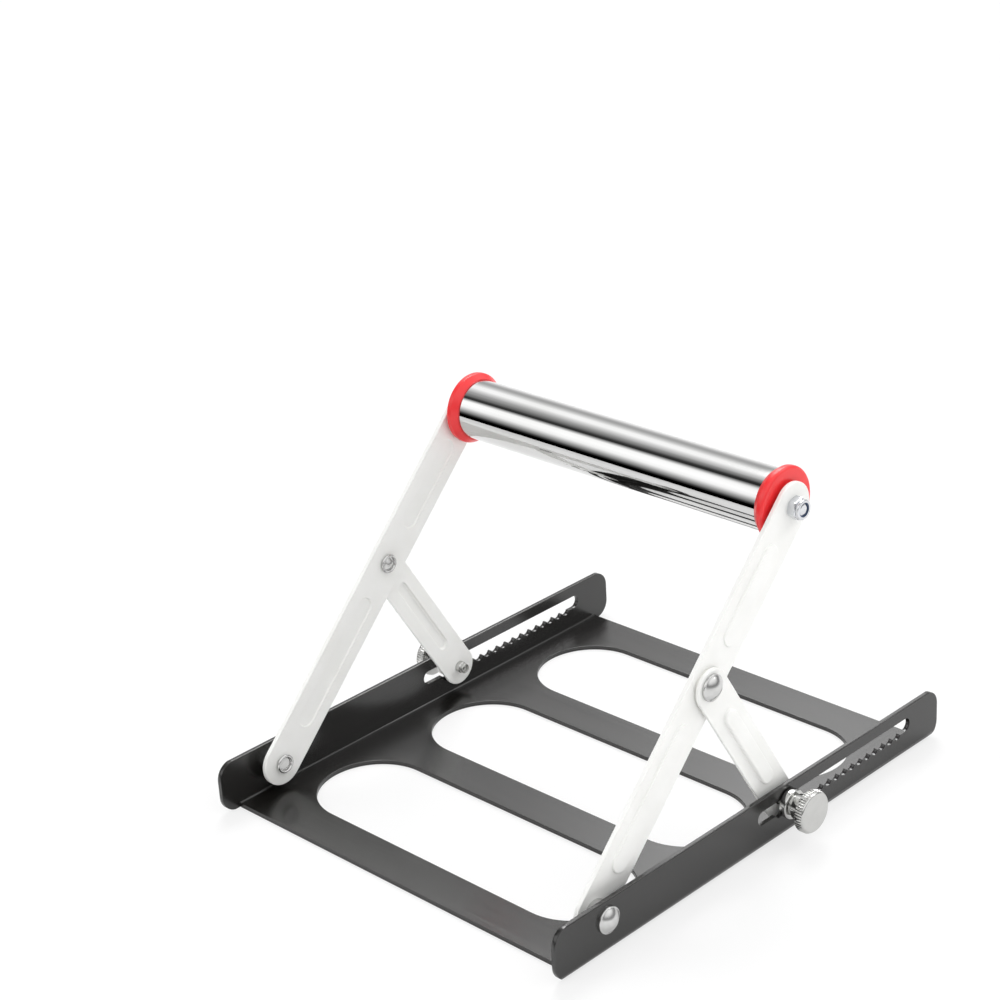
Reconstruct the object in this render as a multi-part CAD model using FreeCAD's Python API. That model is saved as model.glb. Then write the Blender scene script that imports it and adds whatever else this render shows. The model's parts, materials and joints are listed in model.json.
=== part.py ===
import FreeCAD, Part
import os
from math import acos, atan2, cos, degrees, hypot, pi, radians, sin, tan
from FreeCAD import Vector

# Roller support stand: a bent tray, two arms that carry a roller, and two struts
# that hold the arms up. Millimetres and degrees. X runs along the roller, Y from
# the front of the tray to its rear, Z up. The origin is on the floor at the
# middle of the tray.

# Tray, bent from one sheet
flange_length = 240.0
base_width = 193.0
sheet_thickness = 2.0
bend_inner_radius = 1.0
flange_height = 23.0
flange_corner_radius = 7.5
flange_edge_round = 0.4
plate_inset = 8.7
plate_edge_round = 0.3
strap_width = 18.8
cutout_count = 3
cutout_side_margin = 14.3

# Toothed slot in each flange
slot_from_front = 118.0
slot_length = 102.0
slot_height = 6.2
slot_centre_height = 14.5
tooth_pitch = 5.3
tooth_valley_count = 16
tooth_valley_radius = 2.45
tooth_valley_depth = 1.6
tooth_valley_from_rear = 8.85

# Linkage, seen from the side. The screws rest in a tooth valley, counted from the rear.
pivot_from_front = 28.8
pivot_height = 14.6
arm_length = 173.4
strut_joint_distance = 95.9
strut_length = 79.3
strut_round_offset = 1.4
screw_valley_at_rest = 14
screw_lift_in_slot = 0.18

# Arms and struts, pressed from sheet
arm_width = 20.0
arm_thickness = 2.0
strut_width = 17.0
strut_thickness = 1.5
bar_edge_round = 0.35
arm_rib_width = 9.0
arm_rib_height = 0.8
arm_rib_round = 0.4
arm_rib_end_gap = 17.0
strut_rib_width = 6.8
strut_rib_height = 1.7
strut_rib_round = 0.9
strut_rib_upper_gap = 16.5
strut_rib_lower_gap = 14.0

# Stack between a flange and the roller
flange_to_strut_gap = 2.1
strut_washer_space = 1.0
arm_to_cap_gap = 1.4
face_clearance = 0.1
pivot_clearance = 0.05

# Rivets
rivet_shank_radius = 3.0
rivet_head_radius = 5.6
rivet_head_rim = 2.4
rivet_head_height = 3.8
rivet_tail_radius = 4.2
rivet_tail_height = 1.8
rivet_tail_round = 0.7
rivet_tail_bore_radius = 3.1
rivet_tail_bore_depth = 1.3
pivot_spacer_radius = 6.0
strut_washer_radius = 6.5

# Thumb screw and the bush that it screws into
screw_thread_radius = 2.0
screw_neck_radius = 1.5
screw_neck_overlap = 0.2
screw_collar_radius = 6.3
screw_collar_length = 3.6
screw_collar_round = 0.6
screw_groove_radius = 4.2
screw_groove_length = 1.4
screw_step_radius = 5.4
screw_step_length = 4.6
screw_head_radius = 9.0
screw_head_length = 4.2
screw_head_chamfer = 0.5
screw_tip_inset = 1.0
screw_flange_gap = 0.15
knurl_count = 48
knurl_depth = 0.45
bush_radius = 2.6
bush_reach = 3.9

# Axle, lock nuts and roller
axle_radius = 2.5
axle_hole_clearance = 0.1
axle_end_chamfer = 0.5
axle_reach_past_arm = 4.0
axle_washer_radius = 4.6
axle_sleeve_radius = 4.4
nut_across_flats = 8.2
nut_sides = 6
nut_hex_height = 3.6
nut_height = 5.2
nut_crown_radius = 3.8
nut_corner_chamfer = 0.4
insert_radius = 3.3
insert_length = 1.4
nut_lip_radius = 2.95
nut_lip_thickness = 0.35
tube_radius = 13.0
tube_wall = 1.2
cap_rim_radius = 15.5
cap_rim_width = 2.8
cap_rim_round = 1.2
cap_taper_width = 2.6
cap_taper_end_radius = 13.5
cap_face_wall = 1.4
cap_spigot_length = 9.0
cap_hole_clearance = 0.7

# Ball bearing
bearing_radius = 9.5
bearing_width = 6.0
bearing_ball_radius = 1.75
bearing_ball_count = 7
bearing_ball_clearance = 0.05
bearing_ring_land = 0.55

# One overrun serves every cut
cut_overrun = 1.0
eighth_turn = pi / 4
full_turn = 360

# Places across the stand, as distances from its middle plane
flange_outer = base_width / 2
flange_inner = flange_outer - sheet_thickness
strut_outer = flange_inner - flange_to_strut_gap
strut_inner = strut_outer - strut_thickness
arm_outer = strut_inner - strut_washer_space
arm_inner = arm_outer - arm_thickness
cap_outer = arm_inner - arm_to_cap_gap
bearing_outer = cap_outer - cap_face_wall
bearing_inner = bearing_outer - bearing_width
tube_end = cap_outer - cap_rim_width - cap_taper_width

# Places seen from the side, as (Y, Z)
front_y = -flange_length / 2
rear_y = flange_length / 2
plate_front_y = front_y + plate_inset
plate_rear_y = rear_y - plate_inset
pivot_point = (front_y + pivot_from_front, pivot_height)
slot_front_y = front_y + slot_from_front
slot_rear_y = slot_front_y + slot_length
screw_height = slot_centre_height + screw_lift_in_slot


def valley_y(index):
    """Where a tooth valley lies along the slot, counted from the rear."""
    return slot_rear_y - tooth_valley_from_rear - index * tooth_pitch


def distance(start, end):
    return hypot(end[0] - start[0], end[1] - start[1])


def slope(start, end):
    """The angle above +Y of the line from start to end."""
    return degrees(atan2(end[1] - start[1], end[0] - start[0]))


def corner_angle(side, other_side, facing_side):
    """The angle of a triangle between two sides, from all three lengths."""
    squares = side ** 2 + other_side ** 2 - facing_side ** 2
    return degrees(acos(squares / (2 * side * other_side)))


def point_along(start, length, angle):
    """The point at a length from start, along an angle above +Y."""
    turn = radians(angle)
    return (start[0] + length * cos(turn), start[1] + length * sin(turn))


# The arm, the strut and the tray close a triangle between pivot, joint and screw
screw_point = (valley_y(screw_valley_at_rest), screw_height)
pivot_to_screw = distance(pivot_point, screw_point)
arm_rest_angle = slope(pivot_point, screw_point) + corner_angle(
    strut_joint_distance, pivot_to_screw, strut_length
)
strut_point = point_along(pivot_point, strut_joint_distance, arm_rest_angle)
axle_point = point_along(pivot_point, arm_length, arm_rest_angle)
strut_rest_angle = slope(strut_point, screw_point)


def at(x, place):
    """A point at x across the stand, at a place seen from the side."""
    return Vector(x, place[0], place[1])


def rod(radius, x_from, x_to, place):
    """A cylinder along X."""
    return Part.makeCylinder(radius, x_to - x_from, at(x_from, place), Vector(1, 0, 0))


def ring(outer_radius, inner_radius, x_from, x_to, place):
    """A washer or sleeve along X."""
    outside = rod(outer_radius, x_from, x_to, place)
    return outside.cut(rod(inner_radius, x_from - cut_overrun, x_to + cut_overrun, place))


def turned(outline, place):
    """A solid of revolution about the X line through place.

    The outline holds (x, radius) points. A third value rounds that corner
    with this radius.
    """
    corners = [Vector(x, place[0] + radius, place[1]) for x, radius, *_ in outline]
    rounds = [step[2] if len(step) > 2 else 0.0 for step in outline]
    edges = []
    starts = []
    ends = []
    for index, corner in enumerate(corners):
        before = (corners[index - 1] - corner).normalize()
        after = (corners[(index + 1) % len(corners)] - corner).normalize()
        if rounds[index] > 0:
            half_turn = before.getAngle(after) / 2
            reach = rounds[index] / tan(half_turn)
            middle = (before + after).normalize()
            to_arc = rounds[index] / sin(half_turn) - rounds[index]
            starts.append(corner + before * reach)
            ends.append(corner + after * reach)
            edges.append(Part.Arc(starts[-1], corner + middle * to_arc, ends[-1]).toShape())
        else:
            starts.append(corner)
            ends.append(corner)
    for index in range(len(corners)):
        start = ends[index]
        end = starts[(index + 1) % len(corners)]
        edges.append(Part.LineSegment(start, end).toShape())
    face = Part.Face(Part.Wire(Part.sortEdges(edges)[0]))
    return face.revolve(at(0, place), Vector(1, 0, 0), full_turn)


def bar(start, end, width, x_from, x_to):
    """A flat bar with fully rounded ends, lying in a side plane."""
    half = width / 2
    length = distance(start, end)
    along = ((end[0] - start[0]) / length, (end[1] - start[1]) / length)
    across = (-along[1], along[0])

    def corner(place, side, ahead=0):
        return Vector(
            x_from,
            place[0] + half * (side * across[0] + ahead * along[0]),
            place[1] + half * (side * across[1] + ahead * along[1]),
        )

    edges = [
        Part.LineSegment(corner(start, 1), corner(end, 1)).toShape(),
        Part.Arc(corner(end, 1), corner(end, 0, 1), corner(end, -1)).toShape(),
        Part.LineSegment(corner(end, -1), corner(start, -1)).toShape(),
        Part.Arc(corner(start, -1), corner(start, 0, -1), corner(start, 1)).toShape(),
    ]
    return Part.Face(Part.Wire(edges)).extrude(Vector(x_to - x_from, 0, 0))


def edges_at(shape, x):
    """The edges that lie in the plane at x."""
    box_edges = []
    for edge in shape.Edges:
        box = edge.BoundBox
        if abs(box.XMin - x) < pivot_clearance and abs(box.XMax - x) < pivot_clearance:
            box_edges.append(edge)
    return box_edges


def pressed_bar(ends, width, x_inner, x_outer, ribs, rib_width, rib_height, rib_round):
    """A flat bar with ribs pressed into it, raised outwards and hollow behind."""
    plate = bar(ends[0], ends[1], width, x_inner, x_outer)
    for start, end in ribs:
        crest = x_outer + rib_height
        raised = bar(start, end, rib_width, x_inner, crest)
        raised = raised.makeFillet(rib_round, edges_at(raised, crest))
        floor = x_inner + rib_height
        hollow = bar(start, end, rib_width - rib_height, x_inner - cut_overrun, floor)
        hollow = hollow.makeFillet(rib_round, edges_at(hollow, floor))
        plate = plate.fuse(raised).removeSplitter().cut(hollow)
    rims = edges_at(plate, x_inner) + edges_at(plate, x_outer)
    return plate.makeFillet(bar_edge_round, rims)


def mirrored(shape):
    """The same shape on the other side of the stand."""
    return shape.mirror(Vector(0, 0, 0), Vector(1, 0, 0))


def tray_profile():
    """The bent sheet seen from the front, as a closed face."""
    outer_radius = bend_inner_radius + sheet_thickness
    outline = []

    def line(start, end):
        outline.append(Part.LineSegment(start, end).toShape())

    def arc(start, middle, end):
        outline.append(Part.Arc(start, middle, end).toShape())

    def spot(x, z):
        return Vector(x, front_y, z)

    def bend(side, radius):
        centre_x = side * (flange_outer - outer_radius)
        on_plate = spot(centre_x, outer_radius - radius)
        on_flange = spot(centre_x + side * radius, outer_radius)
        slant = radius * cos(eighth_turn)
        return on_plate, spot(centre_x + side * slant, outer_radius - slant), on_flange

    for side in (-1, 1):
        low = bend(side, outer_radius)
        high = bend(side, bend_inner_radius)
        arc(*low)
        arc(*high)
        top = flange_height - flange_edge_round
        outside = spot(side * flange_outer, top)
        inside = spot(side * flange_inner, top)
        top_outside = spot(side * (flange_outer - flange_edge_round), flange_height)
        top_inside = spot(side * (flange_inner + flange_edge_round), flange_height)
        cut_back = flange_edge_round * (1 - cos(eighth_turn))
        line(low[2], outside)
        arc(outside, spot(side * (flange_outer - cut_back), flange_height - cut_back), top_outside)
        line(top_outside, top_inside)
        arc(top_inside, spot(side * (flange_inner + cut_back), flange_height - cut_back), inside)
        line(inside, high[2])
    line(bend(-1, outer_radius)[0], bend(1, outer_radius)[0])
    line(bend(-1, bend_inner_radius)[0], bend(1, bend_inner_radius)[0])
    return Part.Face(Part.Wire(Part.sortEdges(outline)[0]))


def rounded_flange_block():
    """A block as wide as the tray with the flanges' rounded side outline."""
    block = Part.makeBox(
        base_width, flange_length, flange_height, Vector(-flange_outer, front_y, 0)
    )
    upright = []
    for edge in block.Edges:
        box = edge.BoundBox
        if box.XLength > base_width / 2:
            upright.append(edge)
    return block.makeFillet(flange_corner_radius, upright)


def cutout(index):
    """One of the long round-ended windows in the plate."""
    plate_length = plate_rear_y - plate_front_y
    opening = (plate_length - (cutout_count + 1) * strap_width) / cutout_count
    radius = opening / 2
    centre_y = plate_front_y + strap_width + radius + index * (opening + strap_width)
    end_x = flange_outer - cutout_side_margin - radius
    height = sheet_thickness + 2 * cut_overrun
    window = Part.makeBox(
        2 * end_x, opening, height, Vector(-end_x, centre_y - radius, -cut_overrun)
    )
    for side in (-1, 1):
        end = Vector(side * end_x, centre_y, -cut_overrun)
        window = window.fuse(Part.makeCylinder(radius, height, end))
    return window.removeSplitter()


def cutout_rims(tray):
    """The windows' edges on both faces of the plate."""
    side = flange_outer - cutout_side_margin
    rims = []
    for edge in tray.Edges:
        box = edge.BoundBox
        level = box.ZLength < pivot_clearance and box.ZMin < sheet_thickness + pivot_clearance
        inside = box.YMin > plate_front_y + cut_overrun and box.YMax < plate_rear_y - cut_overrun
        if level and inside and box.XMax < side + cut_overrun and box.XMin > -side - cut_overrun:
            rims.append(edge)
    return rims


def toothed_slot():
    """The slot that both screws slide in, cut through both flanges at once."""
    radius = slot_height / 2
    reach = flange_outer + cut_overrun
    front = (slot_front_y + radius, slot_centre_height)
    rear = (slot_rear_y - radius, slot_centre_height)
    slot = bar(front, rear, slot_height, -reach, reach)
    tips = slot_centre_height - radius
    valley_height = tips + tooth_valley_radius - tooth_valley_depth
    for index in range(tooth_valley_count):
        valley = (valley_y(index), valley_height)
        slot = slot.fuse(rod(tooth_valley_radius, -reach, reach, valley))
    return slot


def make_base_tray():
    tray = tray_profile().extrude(Vector(0, flange_length, 0))
    tray = tray.common(rounded_flange_block())
    for start_y in (front_y - cut_overrun, plate_rear_y):
        notch = Part.makeBox(
            2 * flange_inner,
            plate_inset + cut_overrun,
            flange_height + cut_overrun,
            Vector(-flange_inner, start_y, -cut_overrun),
        )
        tray = tray.cut(notch)
    for index in range(cutout_count):
        tray = tray.cut(cutout(index))
    tray = tray.makeFillet(plate_edge_round, cutout_rims(tray))
    tray = tray.cut(toothed_slot())
    hole_reach = flange_outer + cut_overrun
    return tray.cut(rod(rivet_shank_radius, -hole_reach, hole_reach, pivot_point))


def make_arm():
    inset = arm_rib_end_gap + arm_rib_width / 2
    ribs = []
    for near, far in ((0, strut_joint_distance), (strut_joint_distance, arm_length)):
        start = point_along(pivot_point, near + inset, arm_rest_angle)
        end = point_along(pivot_point, far - inset, arm_rest_angle)
        ribs.append((start, end))
    arm = pressed_bar(
        (pivot_point, axle_point),
        arm_width,
        arm_inner,
        arm_outer,
        ribs,
        arm_rib_width,
        arm_rib_height,
        arm_rib_round,
    )
    for place, radius in (
        (pivot_point, rivet_shank_radius + pivot_clearance),
        (strut_point, rivet_shank_radius),
        (axle_point, axle_radius + axle_hole_clearance),
    ):
        arm = arm.cut(rod(radius, arm_inner - cut_overrun, arm_outer + cut_overrun, place))
    return arm


def make_strut():
    top = point_along(strut_point, strut_round_offset, strut_rest_angle)
    upper = strut_rib_upper_gap + strut_rib_width / 2
    lower = strut_rib_lower_gap + strut_rib_width / 2
    start = point_along(strut_point, upper, strut_rest_angle)
    end = point_along(strut_point, strut_length - lower, strut_rest_angle)
    strut = pressed_bar(
        (top, screw_point),
        strut_width,
        strut_inner,
        strut_outer,
        [(start, end)],
        strut_rib_width,
        strut_rib_height,
        strut_rib_round,
    )
    hole_from = strut_inner - cut_overrun
    hole_to = strut_outer + cut_overrun
    strut = strut.cut(rod(rivet_shank_radius + pivot_clearance, hole_from, hole_to, strut_point))
    return strut.cut(rod(bush_radius, hole_from, hole_to, screw_point))


def dome_head(x_from, place):
    """A rivet head with a straight rim and a low dome on it."""
    rim_x = x_from + rivet_head_rim
    top_x = x_from + rivet_head_height
    dome_height = rivet_head_height - rivet_head_rim
    sphere_radius = (rivet_head_radius ** 2 + dome_height ** 2) / (2 * dome_height)
    rim = rod(rivet_head_radius, x_from, rim_x, place)
    ball = Part.makeSphere(sphere_radius, at(top_x - sphere_radius, place))
    column = rod(rivet_head_radius, rim_x, top_x + cut_overrun, place)
    return rim.fuse(ball.common(column)).removeSplitter()


def make_rivet(head_x, tail_x, place):
    """A rivet with its head at head_x and its upset tail on the face at tail_x."""
    end_x = tail_x - rivet_tail_height
    shank = turned(
        [
            (end_x, 0.0),
            (end_x, rivet_tail_radius, rivet_tail_round),
            (tail_x, rivet_tail_radius),
            (tail_x, rivet_shank_radius),
            (head_x + rivet_head_rim / 2, rivet_shank_radius),
            (head_x + rivet_head_rim / 2, 0.0),
        ],
        place,
    )
    shank = shank.fuse(dome_head(head_x, place)).removeSplitter()
    bore_end = end_x + rivet_tail_bore_depth
    return shank.cut(rod(rivet_tail_bore_radius, end_x - cut_overrun, bore_end, place))


def make_pivot_rivet():
    return make_rivet(flange_outer, arm_inner - face_clearance, pivot_point)


def make_pivot_spacer():
    return ring(
        pivot_spacer_radius,
        rivet_shank_radius,
        arm_outer + face_clearance,
        flange_inner,
        pivot_point,
    )


def make_strut_rivet():
    return make_rivet(strut_outer + face_clearance, arm_inner, strut_point)


def make_strut_washer():
    return ring(
        strut_washer_radius,
        rivet_shank_radius,
        arm_outer,
        strut_inner - face_clearance,
        strut_point,
    )


def make_threaded_bush():
    return ring(
        bush_radius, screw_thread_radius, strut_inner - bush_reach, strut_outer, screw_point
    )


def knurled_disc(x_from, x_to, place):
    """The screw head's disc with straight grooves round its rim."""
    points = []
    for index in range(2 * knurl_count):
        radius = screw_head_radius - (index % 2) * knurl_depth
        angle = index * pi / knurl_count
        spot = (place[0] + radius * cos(angle), place[1] + radius * sin(angle))
        points.append(at(x_from, spot))
    points.append(points[0])
    disc = Part.Face(Part.makePolygon(points)).extrude(Vector(x_to - x_from, 0, 0))
    limit = turned(
        [
            (x_from, 0.0),
            (x_from, screw_head_radius - screw_head_chamfer),
            (x_from + screw_head_chamfer, screw_head_radius),
            (x_to - screw_head_chamfer, screw_head_radius),
            (x_to, screw_head_radius - screw_head_chamfer),
            (x_to, 0.0),
        ],
        place,
    )
    return disc.common(limit)


def make_thumb_screw():
    tip = strut_inner - bush_reach + screw_tip_inset
    neck_from = flange_inner - screw_neck_overlap
    collar_from = flange_outer + screw_flange_gap
    collar_to = collar_from + screw_collar_length
    groove_to = collar_to + screw_groove_length
    step_to = groove_to + screw_step_length
    thread = screw_thread_radius - pivot_clearance
    body = turned(
        [
            (tip, 0.0),
            (tip, thread - axle_end_chamfer),
            (tip + axle_end_chamfer, thread),
            (neck_from, thread),
            (neck_from, screw_neck_radius),
            (collar_from, screw_neck_radius),
            (collar_from, screw_collar_radius, screw_collar_round),
            (collar_to, screw_collar_radius, screw_collar_round),
            (collar_to, screw_groove_radius),
            (groove_to, screw_groove_radius),
            (groove_to, screw_step_radius, screw_collar_round),
            (step_to + screw_head_chamfer, screw_step_radius),
            (step_to + screw_head_chamfer, 0.0),
        ],
        screw_point,
    )
    head = knurled_disc(step_to, step_to + screw_head_length, screw_point)
    return body.fuse(head).removeSplitter()


def make_axle_rod():
    reach = arm_outer + axle_reach_past_arm
    return turned(
        [
            (-reach, 0.0),
            (-reach, axle_radius - axle_end_chamfer),
            (-reach + axle_end_chamfer, axle_radius),
            (reach - axle_end_chamfer, axle_radius),
            (reach, axle_radius - axle_end_chamfer),
            (reach, 0.0),
        ],
        axle_point,
    )


def make_axle_sleeve():
    """The tube on the axle that keeps the two bearings apart."""
    return ring(
        axle_sleeve_radius,
        axle_radius + axle_hole_clearance,
        -bearing_inner,
        bearing_inner,
        axle_point,
    )


def make_axle_washer():
    return ring(
        axle_washer_radius,
        axle_radius + axle_hole_clearance,
        bearing_outer,
        arm_inner,
        axle_point,
    )


def make_lock_nut():
    half_side_angle = pi / nut_sides
    corner_radius = nut_across_flats / 2 / cos(half_side_angle)
    points = []
    for index in range(nut_sides + 1):
        angle = radians(arm_rest_angle) + half_side_angle + 2 * index * half_side_angle
        spot = (
            axle_point[0] + corner_radius * cos(angle),
            axle_point[1] + corner_radius * sin(angle),
        )
        points.append(at(arm_outer, spot))
    hexagon = Part.Face(Part.makePolygon(points)).extrude(Vector(nut_hex_height, 0, 0))
    hex_to = arm_outer + nut_hex_height
    limit = turned(
        [
            (arm_outer, 0.0),
            (arm_outer, corner_radius - nut_corner_chamfer),
            (arm_outer + nut_corner_chamfer, corner_radius),
            (hex_to - nut_corner_chamfer, corner_radius),
            (hex_to, corner_radius - nut_corner_chamfer),
            (hex_to, 0.0),
        ],
        axle_point,
    )
    crown_to = arm_outer + nut_height
    crown = turned(
        [
            (hex_to - nut_corner_chamfer, 0.0),
            (hex_to - nut_corner_chamfer, nut_crown_radius),
            (crown_to, nut_crown_radius, nut_crown_radius - insert_radius),
            (crown_to, 0.0),
        ],
        axle_point,
    )
    nut = hexagon.common(limit).fuse(crown).removeSplitter()
    lip_from = crown_to - nut_lip_thickness
    nut = nut.cut(rod(axle_radius, arm_outer - cut_overrun, lip_from, axle_point))
    nut = nut.cut(rod(insert_radius, lip_from - insert_length, lip_from, axle_point))
    return nut.cut(rod(nut_lip_radius, hex_to, crown_to + cut_overrun, axle_point))


def make_lock_nut_insert():
    """The nylon ring under the lip of the nut's crown that grips the thread."""
    outside = arm_outer + nut_height - nut_lip_thickness
    return ring(insert_radius, axle_radius, outside - insert_length, outside, axle_point)


def make_roller_tube():
    return ring(tube_radius, tube_radius - tube_wall, -tube_end, tube_end, axle_point)


def make_end_cap():
    rim_to = cap_outer - cap_rim_width
    spigot_to = tube_end - cap_spigot_length
    hole_radius = axle_washer_radius + cap_hole_clearance
    return turned(
        [
            (cap_outer, hole_radius),
            (cap_outer, cap_rim_radius, cap_rim_round),
            (rim_to, cap_rim_radius, cap_rim_round),
            (tube_end, cap_taper_end_radius),
            (tube_end, tube_radius - tube_wall),
            (spigot_to, tube_radius - tube_wall),
            (spigot_to, bearing_radius),
            (bearing_outer, bearing_radius),
            (bearing_outer, hole_radius),
        ],
        axle_point,
    )


def ball_circle_radius():
    return (bearing_radius + axle_radius) / 2


def ball_groove():
    """The round track that the balls run in."""
    centre = at((bearing_outer + bearing_inner) / 2, axle_point)
    groove_radius = bearing_ball_radius + bearing_ball_clearance
    return Part.makeTorus(ball_circle_radius(), groove_radius, centre, Vector(1, 0, 0))


def make_bearing_outer_ring():
    inner = ball_circle_radius() + bearing_ball_radius - bearing_ring_land
    return ring(bearing_radius, inner, bearing_inner, bearing_outer, axle_point).cut(ball_groove())


def make_bearing_inner_ring():
    outer = ball_circle_radius() - bearing_ball_radius + bearing_ring_land
    return ring(outer, axle_radius, bearing_inner, bearing_outer, axle_point).cut(ball_groove())


def make_bearing_balls():
    middle = (bearing_outer + bearing_inner) / 2
    balls = []
    for index in range(bearing_ball_count):
        angle = full_turn * index / bearing_ball_count
        spot = point_along(axle_point, ball_circle_radius(), angle)
        balls.append(Part.makeSphere(bearing_ball_radius, at(middle, spot)))
    return Part.makeCompound(balls)


# Pieces that stand once on each side, made for the +X side
paired_pieces = {
    "pivot_rivet": make_pivot_rivet,
    "pivot_spacer": make_pivot_spacer,
    "arm": make_arm,
    "strut_rivet": make_strut_rivet,
    "strut_washer": make_strut_washer,
    "strut": make_strut,
    "threaded_bush": make_threaded_bush,
    "thumb_screw": make_thumb_screw,
    "axle_washer": make_axle_washer,
    "lock_nut": make_lock_nut,
    "lock_nut_insert": make_lock_nut_insert,
    "end_cap": make_end_cap,
    "bearing_outer_ring": make_bearing_outer_ring,
    "bearing_inner_ring": make_bearing_inner_ring,
    "bearing_balls": make_bearing_balls,
}

# Pieces that cross the middle plane
single_pieces = {
    "base_tray": make_base_tray,
    "axle_rod": make_axle_rod,
    "axle_sleeve": make_axle_sleeve,
    "roller_tube": make_roller_tube,
}


def main():
    os.makedirs("parts", exist_ok=True)
    shapes = {}
    for name, make in single_pieces.items():
        shapes[name] = make()
    for name, make in paired_pieces.items():
        shape = make()
        shapes["right_" + name] = shape
        shapes["left_" + name] = mirrored(shape)
    for name, shape in shapes.items():
        shape.exportStep("parts/" + name + ".step")
        print(name, len(shape.Solids), "solids, volume", round(shape.Volume, 1), shape.isValid())
    for label, place in (
        ("pivot", pivot_point),
        ("strut joint", strut_point),
        ("axle", axle_point),
        ("screw", screw_point),
    ):
        print(label, round(place[0], 4), round(place[1], 4))


main()
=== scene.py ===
import json
from math import atan2, cos, hypot, pi, radians, sin

import bmesh
import bpy
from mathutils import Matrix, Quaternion, Vector


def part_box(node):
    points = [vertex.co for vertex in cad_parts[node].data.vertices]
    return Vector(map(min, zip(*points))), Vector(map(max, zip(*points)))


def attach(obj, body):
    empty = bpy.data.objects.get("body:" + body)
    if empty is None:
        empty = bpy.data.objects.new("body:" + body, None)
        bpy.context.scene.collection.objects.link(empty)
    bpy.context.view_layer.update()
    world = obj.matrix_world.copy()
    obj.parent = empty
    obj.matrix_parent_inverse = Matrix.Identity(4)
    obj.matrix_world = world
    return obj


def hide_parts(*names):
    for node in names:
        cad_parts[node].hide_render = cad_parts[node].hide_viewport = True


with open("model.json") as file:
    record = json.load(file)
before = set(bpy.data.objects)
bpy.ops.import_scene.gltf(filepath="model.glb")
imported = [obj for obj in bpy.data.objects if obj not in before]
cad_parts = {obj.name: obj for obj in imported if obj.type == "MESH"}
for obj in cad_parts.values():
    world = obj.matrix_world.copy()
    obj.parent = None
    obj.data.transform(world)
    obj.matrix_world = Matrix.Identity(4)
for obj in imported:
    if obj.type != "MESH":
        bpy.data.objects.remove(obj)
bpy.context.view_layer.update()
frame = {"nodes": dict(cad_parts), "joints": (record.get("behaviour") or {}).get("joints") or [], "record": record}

MM = 0.001

# The photograph's camera, solved from the tray's straight edges
CAMERA_PLACE_MM = (618.3, -642.2, 522.5)
CAMERA_AZIMUTH = 45.737
CAMERA_ELEVATION = 23.803
CAMERA_ROLL = -3.563
CAMERA_LENS_MM = 86.73
CAMERA_SENSOR_MM = 36.0

# The white table top, which stops in front of the stand
TABLE_FRONT_MM = 370.0
TABLE_REACH_MM = 4000.0
TABLE_COLOUR = "#e6e6e6"
# How much of its white the table has of itself, seen straight and seen in a mirror:
# the rest is as lit, and keeps the shadow
WHITE_SEEN = 0.7
WHITE_MIRRORED = 0.3
# Its own white is painted darker towards the front left corner, a painted shade that the roller mirrors,
# in steps of (metres, what is left). A point's metres that way are how far it lies to the front,
# and this share of how far it lies to the left.
CORNER_LEFT_SHARE = 0.35
CORNER_PAINTED_SHADE = ((0.28, 1.0), (0.35, 0.62), (0.42, 0.5))

# The studio's brightness by the direction that its light comes from, in steps of (place,
# brightness). X and Z are those of that direction, from -1 to 1. The turn is its angle
# about the roller's axis in degrees: 0 is level to the front, 90 overhead, 180 level to
# the rear. To the left of the stand the steps go by the turn.
LEFT_LIGHTS = (
    (-90, 1.0), (-45, 1.0), (-36, 0.0), (-8, 0.0), (-2, 0.09), (10, 0.64), (22, 1.42),
    (34, 1.60), (46, 1.50), (58, 0.95), (71, 0.46), (83, 0.52), (95, 0.95), (107, 1.45),
    (119, 1.42), (131, 0.92), (143, 0.56), (155, 0.46), (167, 0.80), (179, 1.05),
    (190, 1.08), (270, 1.0),
)
# A dark gap between two of those lights, a little aslant to the roller: the turn of its
# middle at one X, how fast that turn goes up with X, and what is left of the light by
# the degrees from there
GAP_MIDDLE_X = -0.63
GAP_TURN = 63.5
GAP_SLANT = 90.0
LEFT_GAP = ((-16, 1.0), (-9, 0.45), (-4, 0.03), (3, 0.10), (10, 0.55), (20, 1.0))
# What is left of those lights at the studio's left end, by X. With more, the left arm's
# outer face would be lost in white.
LEFT_END = ((-0.90, 0.25), (-0.74, 1.0))
# A bright light to the rear left, beside what the roller mirrors: its extent by X and
# by the turn, and what it adds at its brightest
REAR_LIGHT_X = (
    (-1.0, 0.0), (-0.575, 0.0), (-0.55, 0.75), (-0.50, 1.0), (-0.30, 1.0), (-0.24, 0.0),
)
REAR_LIGHT_TURN = ((100, 0.0), (108, 1.0), (131, 1.0), (143, 0.2), (154, 0.0))
REAR_LIGHT_LEVEL = 9.0
# To the right of the stand the steps go by Z, from straight down to overhead
RIGHT_LIGHTS = (
    (-1.0, 0.9), (0.0, 0.9), (0.06, 0.6), (0.14, 0.28), (0.28, 0.26), (0.42, 1.0),
    (0.60, 1.36), (0.85, 1.32), (1.0, 1.15),
)
# The X that the right side reaches, and that the left side starts from
RIGHT_ENDS_X = -0.22
LEFT_STARTS_X = -0.30

# The key lamp: where it stands, the place that it faces, its size and its power
KEY_PLACE_MM = (720.0, 860.0, 960.0)
KEY_AIM_MM = (0.0, 0.0, 60.0)
KEY_SIZE_MM = 350.0
KEY_WATTS = 2.4

# How far a flat of the lock nuts is turned from level
NUT_TURN = radians(45)
# How wide the tray's sharp edges are broken
TRAY_EDGE_MM = 0.25
# How near a point is to the place that is meant, in millimetres or radians
NEAR = 0.01


def linear(hex_colour):
    """An sRGB hex colour as linear RGBA."""
    channels = []
    for start in (1, 3, 5):
        value = int(hex_colour[start:start + 2], 16) / 255
        channels.append(value / 12.92 if value <= 0.04045 else ((value + 0.055) / 1.055) ** 2.4)
    return (*channels, 1.0)


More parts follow.
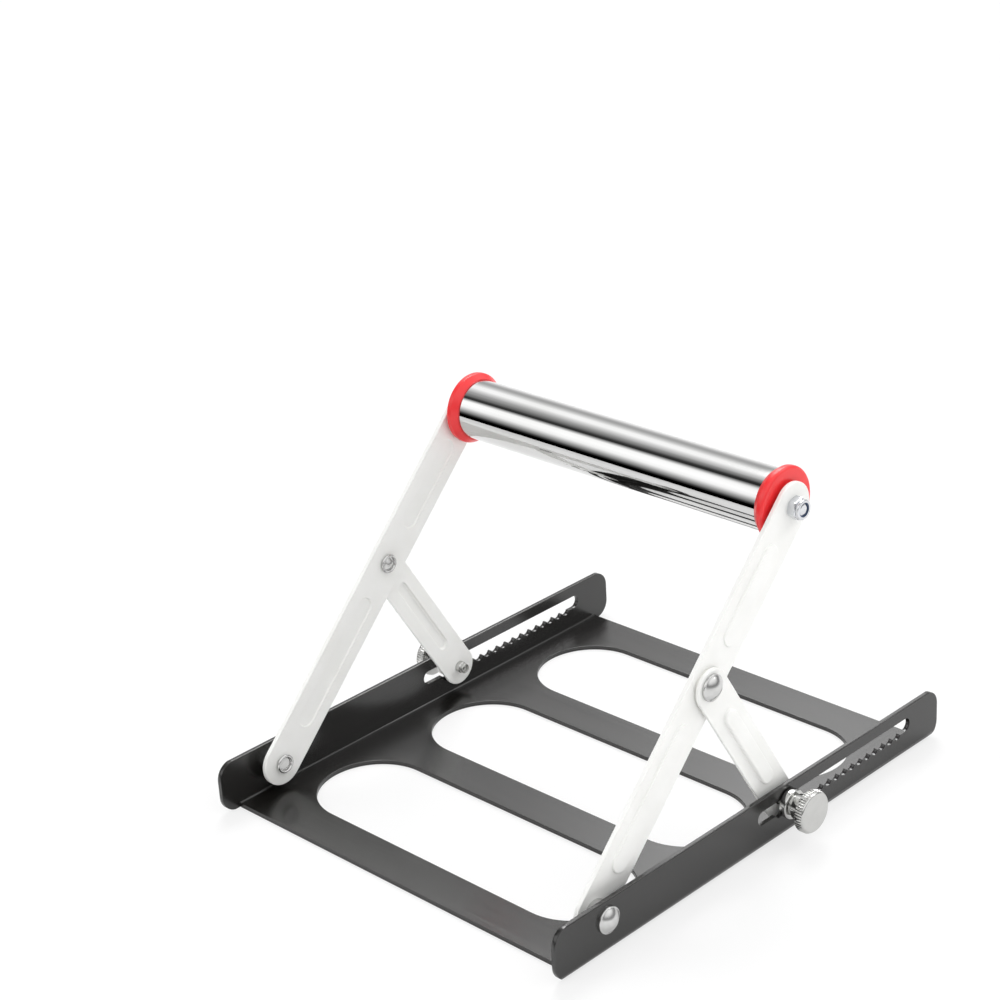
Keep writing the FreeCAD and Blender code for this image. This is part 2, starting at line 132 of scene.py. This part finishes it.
def add(tree, kind, links=None, stops=None, **settings):
    """Adds a shader node: its settings, what its inputs take, and a colour ramp's stops."""
    node = tree.nodes.new("ShaderNode" + kind)
    for name, value in settings.items():
        setattr(node, name, value)
    for name, source in (links or {}).items():
        if isinstance(source, bpy.types.NodeSocket):
            tree.links.new(source, node.inputs[name])
        else:
            node.inputs[name].default_value = source
    if stops:
        elements = node.color_ramp.elements
        elements.remove(elements[-1])
        elements[0].position, elements[0].color = stops[0]
        for place, colour in stops[1:]:
            elements.new(place).color = colour
    return node


def finish_with(name, **values):
    """A new material: its shader, with the values that are even all over set on its sockets."""
    material = bpy.data.materials.new(name)
    material.use_nodes = True
    tree = material.node_tree
    tree.nodes.clear()
    shader = add(tree, "BsdfPrincipled")
    add(tree, "OutputMaterial", {"Surface": shader.outputs[0]})
    for socket, value in values.items():
        shader.inputs[socket.replace("_", " ")].default_value = value
    return material, tree, shader


def grained(tree, shader, colours, cloud, grain, rough, depth_mm):
    """Lays a finish on a shader: clouded colour, and a grain that carries gloss and relief."""
    tint = add(tree, "ValToRGB", {"Fac": cloud}, [
        (0.3, linear(colours[0])), (0.7, linear(colours[1])),
    ])
    gloss = add(tree, "MapRange", {"Value": grain, "To Min": rough[0], "To Max": rough[1]})
    relief = add(tree, "Bump", {"Height": grain, "Strength": 1.0, "Distance": depth_mm * MM})
    tree.links.new(tint.outputs[0], shader.inputs["Base Color"])
    tree.links.new(gloss.outputs[0], shader.inputs["Roughness"])
    tree.links.new(relief.outputs[0], shader.inputs["Normal"])


def graphite_lacquer():
    """Graphite lacquer, sprayed thin over cold-rolled steel sheet.

    The eye gets a near black that mirrors softly what stands beside it. The sheet's
    rolling lines show through as faint streaks, along the straps and, past the
    folds, along the flanges.
    """
    # the rolling lines lie about 0.3 mm apart, and are drawn coarser to show
    streak_mm, streak_length_mm, cloud_mm = 1.5, 120.0, 30.0
    fold_from_mm, fold_to_mm = 72.0, 84.0
    cloud_share = 0.45
    material, tree, shader = finish_with("graphite_lacquer_on_rolled_steel", IOR=1.62)
    place = add(tree, "TexCoord").outputs["Object"]
    axes = add(tree, "SeparateXYZ", {0: place})
    across, along = 1 / (streak_mm * MM), 1 / (streak_length_mm * MM)
    on_strap = add(tree, "Mapping", {"Vector": place, "Scale": (along, across, across)})
    on_flange = add(tree, "Mapping", {"Vector": place, "Scale": (across, along, across)})
    streaks = [
        add(tree, "TexNoise", {
            "Vector": way.outputs[0], "Scale": 1.0, "Detail": 4.0, "Roughness": 0.65,
        })
        for way in (on_strap, on_flange)
    ]
    outward = add(tree, "Math", {0: axes.outputs["X"]}, operation="ABSOLUTE")
    beside_fold = add(tree, "MapRange", {
        "Value": outward.outputs[0], "From Min": fold_from_mm * MM, "From Max": fold_to_mm * MM,
    })
    streak = add(tree, "Mix", {
        0: beside_fold.outputs[0], 2: streaks[0].outputs[0], 3: streaks[1].outputs[0],
    }, data_type="FLOAT")
    cloud = add(tree, "TexNoise", {"Vector": place, "Scale": 1 / (cloud_mm * MM), "Detail": 3.0})
    mixed = add(tree, "Mix", {
        0: cloud_share, 2: streak.outputs[0], 3: cloud.outputs[0],
    }, data_type="FLOAT")
    grained(
        tree, shader, ("#11100f", "#1c1b19"), mixed.outputs[0], streak.outputs[0],
        rough=(0.18, 0.28), depth_mm=0.014)
    return material


def white_powder_coat():
    """White powder coat, baked on pressed steel.

    The eye gets a clean, half-gloss white with a faint orange peel and slightly
    uneven whiteness where the coat is thicker.
    """
    peel_mm, cloud_mm = 1.4, 16.0
    material, tree, shader = finish_with("white_powder_coat_baked", IOR=1.5)
    place = add(tree, "TexCoord").outputs["Object"]
    peel = add(tree, "TexNoise", {"Vector": place, "Scale": 1 / (peel_mm * MM), "Detail": 2.0})
    cloud = add(tree, "TexNoise", {"Vector": place, "Scale": 1 / (cloud_mm * MM), "Detail": 3.0})
    grained(
        tree, shader, ("#f3f3f0", "#f8f8f6"), cloud.outputs[0], peel.outputs[0],
        rough=(0.28, 0.4), depth_mm=0.012)
    return material


def polished_tube():
    """Steel tube, plated and buffed as it turns.

    The eye gets long, sharp reflections, drawn a little soft along the tube by
    hair-fine buffing lines that run round it.
    """
    # buffing lines lie under 0.1 mm apart, and are drawn coarser to show
    line_mm, line_length_mm, cloud_mm = 0.3, 40.0, 30.0
    material, tree, shader = finish_with("plated_tube_buffed", Metallic=1.0)
    place = add(tree, "TexCoord").outputs["Object"]
    across, along = 1 / (line_mm * MM), 1 / (line_length_mm * MM)
    round_it = add(tree, "Mapping", {"Vector": place, "Scale": (across, along, along)})
    lines = add(tree, "TexNoise", {"Vector": round_it.outputs[0], "Scale": 1.0, "Detail": 3.0})
    cloud = add(tree, "TexNoise", {"Vector": place, "Scale": 1 / (cloud_mm * MM), "Detail": 2.0})
    grained(
        tree, shader, ("#cdcdcc", "#d3d3d3"), cloud.outputs[0], lines.outputs[0],
        rough=(0.02, 0.06), depth_mm=0.0002)
    return material


def turned_metal(name, colours, rough, line_mm, axis_m=(0.0, 0.0)):
    """Small turned or upset steel parts, plated.

    The eye gets fine rings about the part's axis on its end faces, and plating
    whose brightness wanders a little. Turning marks lie 0.1 to 0.2 mm apart, and
    line_mm draws them coarser to show.
    """
    cloud_mm, depth_mm = 3.5, 0.001
    material, tree, shader = finish_with(name, Metallic=1.0)
    place = add(tree, "TexCoord").outputs["Object"]
    centred = add(tree, "Mapping", {"Vector": place, "Location": (0.0, -axis_m[0], -axis_m[1])})
    axes = add(tree, "SeparateXYZ", {0: centred.outputs[0]})
    flat = add(tree, "CombineXYZ", {"Y": axes.outputs["Y"], "Z": axes.outputs["Z"]})
    radius = add(tree, "VectorMath", {0: flat.outputs[0]}, operation="LENGTH")
    ring_place = add(tree, "CombineXYZ", {"X": radius.outputs["Value"], "Y": axes.outputs["X"]})
    rings = add(tree, "TexNoise", {
        "Vector": ring_place.outputs[0], "Scale": 1 / (line_mm * MM), "Detail": 2.0,
    })
    cloud = add(tree, "TexNoise", {"Vector": place, "Scale": 1 / (cloud_mm * MM), "Detail": 2.0})
    grained(tree, shader, colours, cloud.outputs[0], rings.outputs[0], rough, depth_mm)
    return material


def moulded_plastic(name, colours, rough, grain_mm):
    """Injection-moulded plastic.

    The eye gets an even colour all through, under a skin that holds the faint
    grain of the mould and softens each highlight. The grain is about 0.1 mm wide,
    and grain_mm draws it coarser to show.
    """
    cloud_mm, depth_mm = 9.0, 0.006
    material, tree, shader = finish_with(name, IOR=1.53)
    place = add(tree, "TexCoord").outputs["Object"]
    grain = add(tree, "TexNoise", {"Vector": place, "Scale": 1 / (grain_mm * MM), "Detail": 2.0})
    cloud = add(tree, "TexNoise", {"Vector": place, "Scale": 1 / (cloud_mm * MM), "Detail": 3.0})
    grained(tree, shader, colours, cloud.outputs[0], grain.outputs[0], rough, depth_mm)
    return material


def joint_axis(name):
    """Where a joint's axis stands, seen from the side, in metres."""
    place = [joint["pos_m"] for joint in frame["joints"] if joint["name"] == name][0]
    return place[1], place[2]


def make_finishes():
    """One finish for each material slot of the record."""
    return {
        "tray_coating": graphite_lacquer(),
        "arm_coating": white_powder_coat(),
        "roller_chrome": polished_tube(),
        "rivet_steel": turned_metal(
            "bright_steel_upset", ("#c4c4c3", "#d0d0cf"), rough=(0.17, 0.25), line_mm=0.9),
        "zinc_steel": turned_metal(
            "bright_zinc_plate", ("#ced0d4", "#dcdde0"), rough=(0.12, 0.2), line_mm=0.5,
            axis_m=joint_axis("roller_spin")),
        "nickel_plate": turned_metal(
            "nickel_plate_on_turned_steel", ("#c0c0be", "#c5c5c3"), rough=(0.09, 0.16),
            line_mm=0.35, axis_m=joint_axis("right_screw_spin")),
        "bearing_steel": turned_metal(
            "ground_bearing_steel", ("#b0b0b0", "#c0c0c0"), rough=(0.08, 0.16), line_mm=0.3,
            axis_m=joint_axis("roller_spin")),
        "red_plastic": moulded_plastic(
            "red_abs_moulded", ("#ee2a2e", "#f23236"), rough=(0.26, 0.36), grain_mm=0.7),
        "nylon_blue": moulded_plastic(
            "blue_nylon_moulded", ("#223a5c", "#2a4468"), rough=(0.4, 0.5), grain_mm=0.5),
        "nylon_white": moulded_plastic(
            "natural_nylon_moulded", ("#dcdcd6", "#e4e4df"), rough=(0.45, 0.55), grain_mm=0.5),
    }


def node_facts(node):
    """The record's material slot and body of a CAD node."""
    record = frame["record"]
    slot = [row["material_slot"] for row in record["subparts"] if row["node"] == node][0]
    body = [name for name, members in record["behaviour"]["bodies"].items() if node in members][0]
    return slot, body


def dress(piece, finish):
    """Gives a piece one finish all over."""
    piece.data.materials.clear()
    piece.data.materials.append(finish)


def pick(piece):
    """Selects a piece and nothing else, for the operators that follow."""
    bpy.ops.object.select_all(action="DESELECT")
    piece.select_set(True)
    bpy.context.view_layer.objects.active = piece


def turned_piece(name, outline_mm, axis_m, sides, hollow=False):
    """A piece turned about an axis along X.

    The outline is a row of (X, radius). A disc is drawn out through it step by step,
    or for a hollow piece a ring, and then the outline ends where it starts.
    """
    join_mm = 0.001
    (x, radius), steps = outline_mm[0], outline_mm[1:]
    bpy.ops.object.select_all(action="DESELECT")
    bpy.ops.mesh.primitive_circle_add(
        vertices=sides, radius=radius * MM, fill_type="NOTHING" if hollow else "NGON",
        location=(x * MM, axis_m[0], axis_m[1]), rotation=(0, pi / 2, 0),
    )
    piece = bpy.context.object
    piece.name = piece.data.name = name
    bpy.ops.object.transform_apply(location=True, rotation=True, scale=True)
    bpy.ops.object.mode_set(mode="EDIT")
    bpy.ops.mesh.select_all(action="SELECT")
    for next_x, next_radius in steps:
        bpy.ops.mesh.extrude_region_move(
            TRANSFORM_OT_translate={"value": ((next_x - x) * MM, 0, 0)})
        grow = next_radius / radius
        bpy.ops.transform.resize(
            value=(1, grow, grow), center_override=(next_x * MM, axis_m[0], axis_m[1]))
        x, radius = next_x, next_radius
    bpy.ops.mesh.select_all(action="SELECT")
    bpy.ops.mesh.remove_doubles(threshold=join_mm * MM)
    bpy.ops.mesh.normals_make_consistent(inside=False)
    bpy.ops.object.mode_set(mode="OBJECT")
    return piece


def scale_points(piece, axis_m, grow, chosen):
    """Draws the chosen points of a turned piece in towards its axis."""
    bpy.ops.object.mode_set(mode="EDIT")
    bpy.ops.mesh.select_all(action="DESELECT")
    mesh = bmesh.from_edit_mesh(piece.data)
    for vertex in mesh.verts:
        along, up = vertex.co.y - axis_m[0], vertex.co.z - axis_m[1]
        vertex.select = chosen(vertex.co.x / MM, hypot(along, up) / MM, atan2(up, along) % (2 * pi))
    mesh.select_flush_mode()
    bmesh.update_edit_mesh(piece.data)
    bpy.ops.transform.resize(value=(1, grow, grow), center_override=(0, axis_m[0], axis_m[1]))
    bpy.ops.object.mode_set(mode="OBJECT")


def add_bevel(piece, width_mm, sharp_degrees, segments):
    """A modifier that breaks a piece's sharp edges."""
    bevel = piece.modifiers.new("broken_edges", "BEVEL")
    bevel.width = width_mm * MM
    bevel.segments = segments
    bevel.limit_method = "ANGLE"
    bevel.angle_limit = radians(sharp_degrees)
    return bevel


def soften(piece, width_mm, sharp_degrees=30, segments=2):
    """Breaks a new piece's sharp edges for good and smooths the rest."""
    pick(piece)
    bevel = add_bevel(piece, width_mm, sharp_degrees, segments)
    bpy.ops.object.modifier_apply(modifier=bevel.name)
    bpy.ops.object.shade_smooth_by_angle(angle=radians(sharp_degrees))


def break_edges(piece, width_mm):
    """Breaks the sharp edges of a CAD node as its modifiers, and leaves its mesh as it is."""
    join_mm = 0.002
    weld = piece.modifiers.new("joined_points", "WELD")
    weld.merge_threshold = join_mm * MM
    bevel = add_bevel(piece, width_mm, sharp_degrees=40, segments=2)
    bevel.harden_normals = True


def other_side(piece, name):
    """The same piece on the left of the stand, as a mesh of its own."""
    pick(piece)
    bpy.ops.object.duplicate(linked=False)
    twin = bpy.context.object
    twin.name = twin.data.name = name
    bpy.ops.object.mode_set(mode="EDIT")
    bpy.ops.mesh.select_all(action="SELECT")
    bpy.ops.transform.resize(value=(-1, 1, 1), center_override=(0, 0, 0))
    bpy.ops.mesh.normals_make_consistent(inside=False)
    bpy.ops.object.mode_set(mode="OBJECT")
    return twin


def stand_for(piece, kind, finishes):
    """Puts a right-hand piece and its left-hand twin in the place of their CAD nodes."""
    for side in ("right", "left"):
        node = side + "_" + kind
        made = piece if side == "right" else other_side(piece, node + "_fine")
        slot, body = node_facts(node)
        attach(made, body)
        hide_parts(node)
        dress(made, finishes[slot])


def make_thumb_screw():
    """Thumb screw, turned from bar: knurled head, a step, a groove, collar, neck and thread."""
    low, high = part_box("right_thumb_screw")
    axis = joint_axis("right_screw_spin")
    face, tip = high.x / MM, low.x / MM
    knurl_from, knurl_to = face - 3.75, face - 0.95
    knurl_radius, groove_radius = 9.0, 8.5
    teeth, points_per_tooth = 48, 4
    head = [
        (face, 7.9), (face - 0.06, 8.2), (face - 0.22, 8.45), (face - 0.5, 8.6),
        (face - 0.8, 8.65), (knurl_to, knurl_radius), (knurl_from, knurl_radius),
        (face - 4.2, 8.5),
    ]
    step_and_groove = [
        (face - 4.2, 5.4), (face - 8.5, 5.4), (face - 8.8, 5.1),
        (face - 8.8, 4.2), (face - 10.2, 4.2),
    ]
    collar = [
        (face - 10.2, 5.8), (face - 10.5, 6.2), (face - 10.9, 6.3),
        (face - 13.1, 6.3), (face - 13.5, 6.15), (face - 13.8, 5.7),
    ]
    neck = [(face - 13.8, 1.5), (face - 16.15, 1.5)]
    thread = [(face - 16.15, 1.95), (tip + 0.5, 1.95), (tip, 1.45)]
    outline = head + step_and_groove + collar + neck + thread
    screw = turned_piece("right_thumb_screw_fine", outline, axis, teeth * points_per_tooth)
    tooth = 2 * pi / teeth

    def in_groove(x, radius, angle):
        in_band = knurl_from - NEAR < x < knurl_to + NEAR
        return in_band and (angle + tooth / 8) % tooth > tooth / 2

    scale_points(screw, axis, groove_radius / knurl_radius, in_groove)
    soften(screw, width_mm=0.04, sharp_degrees=40, segments=1)
    return screw


def make_rivet(kind, axis):
    """Rivet: a low dome in a thin rim outside, and a dished tail upset on the inner face."""
    low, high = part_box("right_" + kind)
    top, end = high.x / MM, low.x / MM
    head_under = top - 3.8
    dome_mm, dome_radius = 2.6, 5.2
    dome = [
        (top - dome_mm * (radius / dome_radius) ** 2, radius)
        for radius in (0.4, 1.1, 1.8, 2.5, 3.2, 3.9, 4.6, dome_radius)
    ]
    rim = [(top - 2.61, 5.36), (top - 2.67, 5.5), (top - 2.85, 5.6), (head_under, 5.6)]
    shank = [(head_under, 3.0), (end + 1.8, 3.0)]
    tail = [
        (end + 1.8, 3.6), (end + 1.2, 4.05), (end + 0.7, 4.2), (end + 0.3, 4.05),
        (end + 0.08, 3.8), (end, 3.5), (end + 0.05, 3.2), (end + 0.3, 3.0),
        (end + 1.1, 2.85), (end + 1.3, 2.4),
    ]
    outline = dome + rim + shank + tail
    rivet = turned_piece("right_" + kind + "_fine", outline, axis, sides=72)
    soften(rivet, width_mm=0.05)
    return rivet


def make_lock_nut():
    """Lock nut: chamfered hexagon, a groove, and the crown that holds the nylon ring."""
    low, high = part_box("right_lock_nut")
    axis = joint_axis("roller_spin")
    base, top = low.x / MM, high.x / MM
    flat, points_per_flat = 4.1, 8
    corner, chamfer_radius = flat / cos(pi / 6), 4.25
    crown = [
        (top, 2.95), (top, 3.75), (top - 0.12, 4.0), (top - 0.35, 4.1), (top - 1.1, 4.1),
    ]
    groove = [(top - 1.25, 3.55), (top - 1.55, 3.55), (top - 1.6, 3.95)]
    hexagon = [(top - 2.0, corner), (base + 0.3, corner), (base, chamfer_radius)]
    bore = [
        (base, 2.6), (top - 2.0, 2.6), (top - 2.0, 3.3), (top - 0.35, 3.3),
        (top - 0.35, 2.95), (top, 2.95),
    ]
    outline = crown + groove + hexagon + bore
    nut = turned_piece("right_lock_nut_fine", outline, axis, 6 * points_per_flat, hollow=True)
    sixth = pi / 3
    for step in range(points_per_flat // 2 + 1):
        off_flat = step * sixth / points_per_flat
        limit = flat / cos(off_flat)
        for ring in (corner, chamfer_radius):

            def outside_flat(x, radius, angle):
                from_flat = abs((angle - NUT_TURN + sixth / 2) % sixth - sixth / 2)
                return abs(radius - ring) < NEAR and abs(from_flat - off_flat) < NEAR

            if limit < ring:
                scale_points(nut, axis, limit / ring, outside_flat)
    soften(nut, width_mm=0.06, sharp_degrees=20)
    return nut


def make_bush():
    """Threaded bush, pressed into the strut: twelve-sided, with a step and a countersunk hole."""
    low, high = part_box("right_threaded_bush")
    end, foot = low.x / MM, high.x / MM
    outline = [
        (foot, 2.0), (foot, 2.6), (end + 2.1, 2.6), (end + 1.8, 2.25), (end + 0.2, 2.25),
        (end, 2.1), (end, 2.03), (end + 0.25, 1.97), (foot, 2.0),
    ]
    axis = joint_axis("right_screw_spin")
    bush = turned_piece("right_threaded_bush_fine", outline, axis, sides=12, hollow=True)
    soften(bush, width_mm=0.04, sharp_degrees=25, segments=1)
    return bush


def make_axle_end():
    """The last turns of the axle's thread, inside the crown of a lock nut."""
    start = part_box("axle_rod")[1].x / MM
    pitch, turns = 0.4, 2
    outline = [(start + 0.85, 1.9), (start + 0.7, 2.1)]
    for turn in range(turns):
        outline += [(start + 0.6 - turn * pitch, 2.4), (start + 0.4 - turn * pitch, 2.15)]
    outline.append((start - 0.2, 2.4))
    end = turned_piece("right_axle_thread_end", outline, joint_axis("roller_spin"), sides=48)
    soften(end, width_mm=0.03, segments=1)
    return end


def make_camera():
    """The photograph's camera, in its place and turned as it was."""
    data = bpy.data.cameras.new("camera")
    camera = bpy.data.objects.new("camera", data)
    bpy.context.scene.collection.objects.link(camera)
    azimuth, elevation = radians(CAMERA_AZIMUTH), radians(CAMERA_ELEVATION)
    ahead = Vector((
        -sin(azimuth) * cos(elevation), cos(azimuth) * cos(elevation), -sin(elevation),
    ))
    level = ahead.to_track_quat("-Z", "Y")
    roll = Quaternion((0, 0, 1), radians(CAMERA_ROLL))
    camera.rotation_mode = "QUATERNION"
    camera.rotation_quaternion = level @ roll
    camera.location = Vector(CAMERA_PLACE_MM) * MM
    data.lens = CAMERA_LENS_MM
    data.sensor_width = CAMERA_SENSOR_MM
    data.sensor_fit = "HORIZONTAL"
    bpy.context.scene.camera = camera


def brightness_by(tree, source, steps, brightest=1.0):
    """Brightness by one measure, from its steps, as a share of the brightest."""
    low, high = steps[0][0], steps[-1][0]
    place = add(tree, "MapRange", {"Value": source, "From Min": low, "From Max": high})
    ramp = add(tree, "ValToRGB", {"Fac": place.outputs[0]}, [
        ((at - low) / (high - low), (*[level / brightest] * 3, 1.0)) for at, level in steps
    ])
    return ramp.outputs[0]


def make_world():
    """A white studio: long lights with dark gaps to the left, broad lights to the right."""
    world = bpy.data.worlds.new("studio")
    bpy.context.scene.world = world
    world.use_nodes = True
    tree = world.node_tree
    tree.nodes.clear()
    brightest = max(level for _, level in LEFT_LIGHTS)
    way = add(tree, "SeparateXYZ", {0: add(tree, "TexCoord").outputs["Generated"]})
    forward = add(tree, "Math", {0: way.outputs["Y"], 1: -1.0}, operation="MULTIPLY")
    angle = add(tree, "Math", {
        0: way.outputs["Z"], 1: forward.outputs[0],
    }, operation="ARCTAN2")
    degrees = add(tree, "Math", {0: angle.outputs[0]}, operation="DEGREES")
    turn = add(tree, "Math", {
        0: degrees.outputs[0], 1: LEFT_LIGHTS[-1][0], 2: LEFT_LIGHTS[0][0],
    }, operation="WRAP")
    aslant = add(tree, "Math", {
        0: way.outputs["X"], 1: -GAP_SLANT, 2: GAP_SLANT * GAP_MIDDLE_X - GAP_TURN,
    }, operation="MULTIPLY_ADD")
    from_gap = add(tree, "Math", {0: turn.outputs[0], 1: aslant.outputs[0]}, operation="ADD")

    strips = brightness_by(tree, turn.outputs[0], LEFT_LIGHTS, brightest)
    for what_is_left in (
        brightness_by(tree, from_gap.outputs[0], LEFT_GAP),
        brightness_by(tree, way.outputs["X"], LEFT_END),
    ):
        strips = add(tree, "Mix", {
            0: 1.0, 6: strips, 7: what_is_left,
        }, data_type="RGBA", blend_type="MULTIPLY").outputs[2]
    rear = add(tree, "Mix", {
        0: 1.0,
        6: brightness_by(tree, turn.outputs[0], REAR_LIGHT_TURN),
        7: brightness_by(tree, way.outputs["X"], REAR_LIGHT_X),
    }, data_type="RGBA", blend_type="MULTIPLY")
    rear_level = REAR_LIGHT_LEVEL / brightest
    rear = add(tree, "Mix", {
        0: 1.0, 6: rear.outputs[2], 7: (rear_level, rear_level, rear_level, 1.0),
    }, data_type="RGBA", blend_type="MULTIPLY")
    left = add(tree, "Mix", {
        0: 1.0, 6: strips, 7: rear.outputs[2],
    }, data_type="RGBA", blend_type="ADD")
    right = brightness_by(tree, way.outputs["Z"], RIGHT_LIGHTS, brightest)
    to_left = add(tree, "MapRange", {
        "Value": way.outputs["X"], "From Min": RIGHT_ENDS_X, "From Max": LEFT_STARTS_X,
    })
    sides = add(tree, "Mix", {
        0: to_left.outputs[0], 6: right, 7: left.outputs[2],
    }, data_type="RGBA")
    light = add(tree, "Background", {"Color": sides.outputs[2], "Strength": brightest})
    add(tree, "OutputWorld", {"Surface": light.outputs[0]})


def make_lamp():
    """One soft key from the right, behind and above, for the glints along bends and edges."""
    data = bpy.data.lights.new("key", "AREA")
    data.shape = "RECTANGLE"
    data.size = KEY_SIZE_MM * MM
    data.size_y = KEY_SIZE_MM * MM
    data.energy = KEY_WATTS
    key = bpy.data.objects.new("key", data)
    bpy.context.scene.collection.objects.link(key)
    key.location = Vector(KEY_PLACE_MM) * MM
    toward = Vector(KEY_AIM_MM) * MM - key.location
    key.rotation_euler = toward.to_track_quat("-Z", "Y").to_euler()


def make_table():
    """The white table top, whose own glow is painted darker at the front left corner, out of the picture: a
    painted shade for metal to mirror.
    """
    bpy.ops.object.select_all(action="DESELECT")
    bpy.ops.mesh.primitive_plane_add(size=2.0)
    table = bpy.context.object
    table.name = "table_top"
    for vertex in table.data.vertices:
        vertex.co.y = (-TABLE_FRONT_MM if vertex.co.y < 0 else TABLE_REACH_MM) * MM
        vertex.co.x *= TABLE_REACH_MM * MM
    material, tree, shader = finish_with(
        "white_table_top", Base_Color=linear(TABLE_COLOUR), Roughness=0.9, Specular_IOR_Level=0.0)
    place = add(tree, "SeparateXYZ", {0: add(tree, "TexCoord").outputs["Object"]})
    leftward = add(tree, "Math", {
        0: place.outputs["X"], 1: -CORNER_LEFT_SHARE,
    }, operation="MULTIPLY")
    outward = add(tree, "Math", {
        0: leftward.outputs[0], 1: place.outputs["Y"],
    }, operation="SUBTRACT")
    # painted shade: the table's own glow is dimmed towards the front left corner
    level = brightness_by(tree, outward.outputs[0], CORNER_PAINTED_SHADE)
    path = add(tree, "LightPath")
    seen = add(tree, "Math", {
        0: path.outputs["Is Camera Ray"], 1: path.outputs["Is Transmission Ray"],
    }, operation="MAXIMUM")
    straight = add(tree, "Math", {0: seen.outputs[0], 1: WHITE_SEEN}, operation="MULTIPLY")
    share = add(tree, "Math", {
        0: path.outputs["Is Glossy Ray"], 1: WHITE_MIRRORED, 2: straight.outputs[0],
    }, operation="MULTIPLY_ADD")
    glow = add(tree, "Emission", {"Color": level, "Strength": 1.0})
    mixed = add(tree, "MixShader", {
        0: share.outputs[0], 1: shader.outputs[0], 2: glow.outputs[0],
    })
    output = [node for node in tree.nodes if node.type == "OUTPUT_MATERIAL"][0]
    tree.links.new(mixed.outputs[0], output.inputs["Surface"])
    table.data.materials.append(material)


bpy.context.scene.view_settings.view_transform = "Standard"
make_camera()
make_world()
make_lamp()
make_table()

finishes = make_finishes()
for node, piece in frame["nodes"].items():
    dress(piece, finishes[node_facts(node)[0]])
break_edges(frame["nodes"]["base_tray"], TRAY_EDGE_MM)
stand_for(make_thumb_screw(), "thumb_screw", finishes)
stand_for(make_lock_nut(), "lock_nut", finishes)
stand_for(make_bush(), "threaded_bush", finishes)
axle_end = make_axle_end()
for piece in (axle_end, other_side(axle_end, "left_axle_thread_end")):
    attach(piece, "arm_frame")
    dress(piece, finishes["zinc_steel"])
stand_for(make_rivet("pivot_rivet", joint_axis("arm_pivot")), "pivot_rivet", finishes)
stand_for(make_rivet("strut_rivet", joint_axis("right_strut_pivot")), "strut_rivet", finishes)
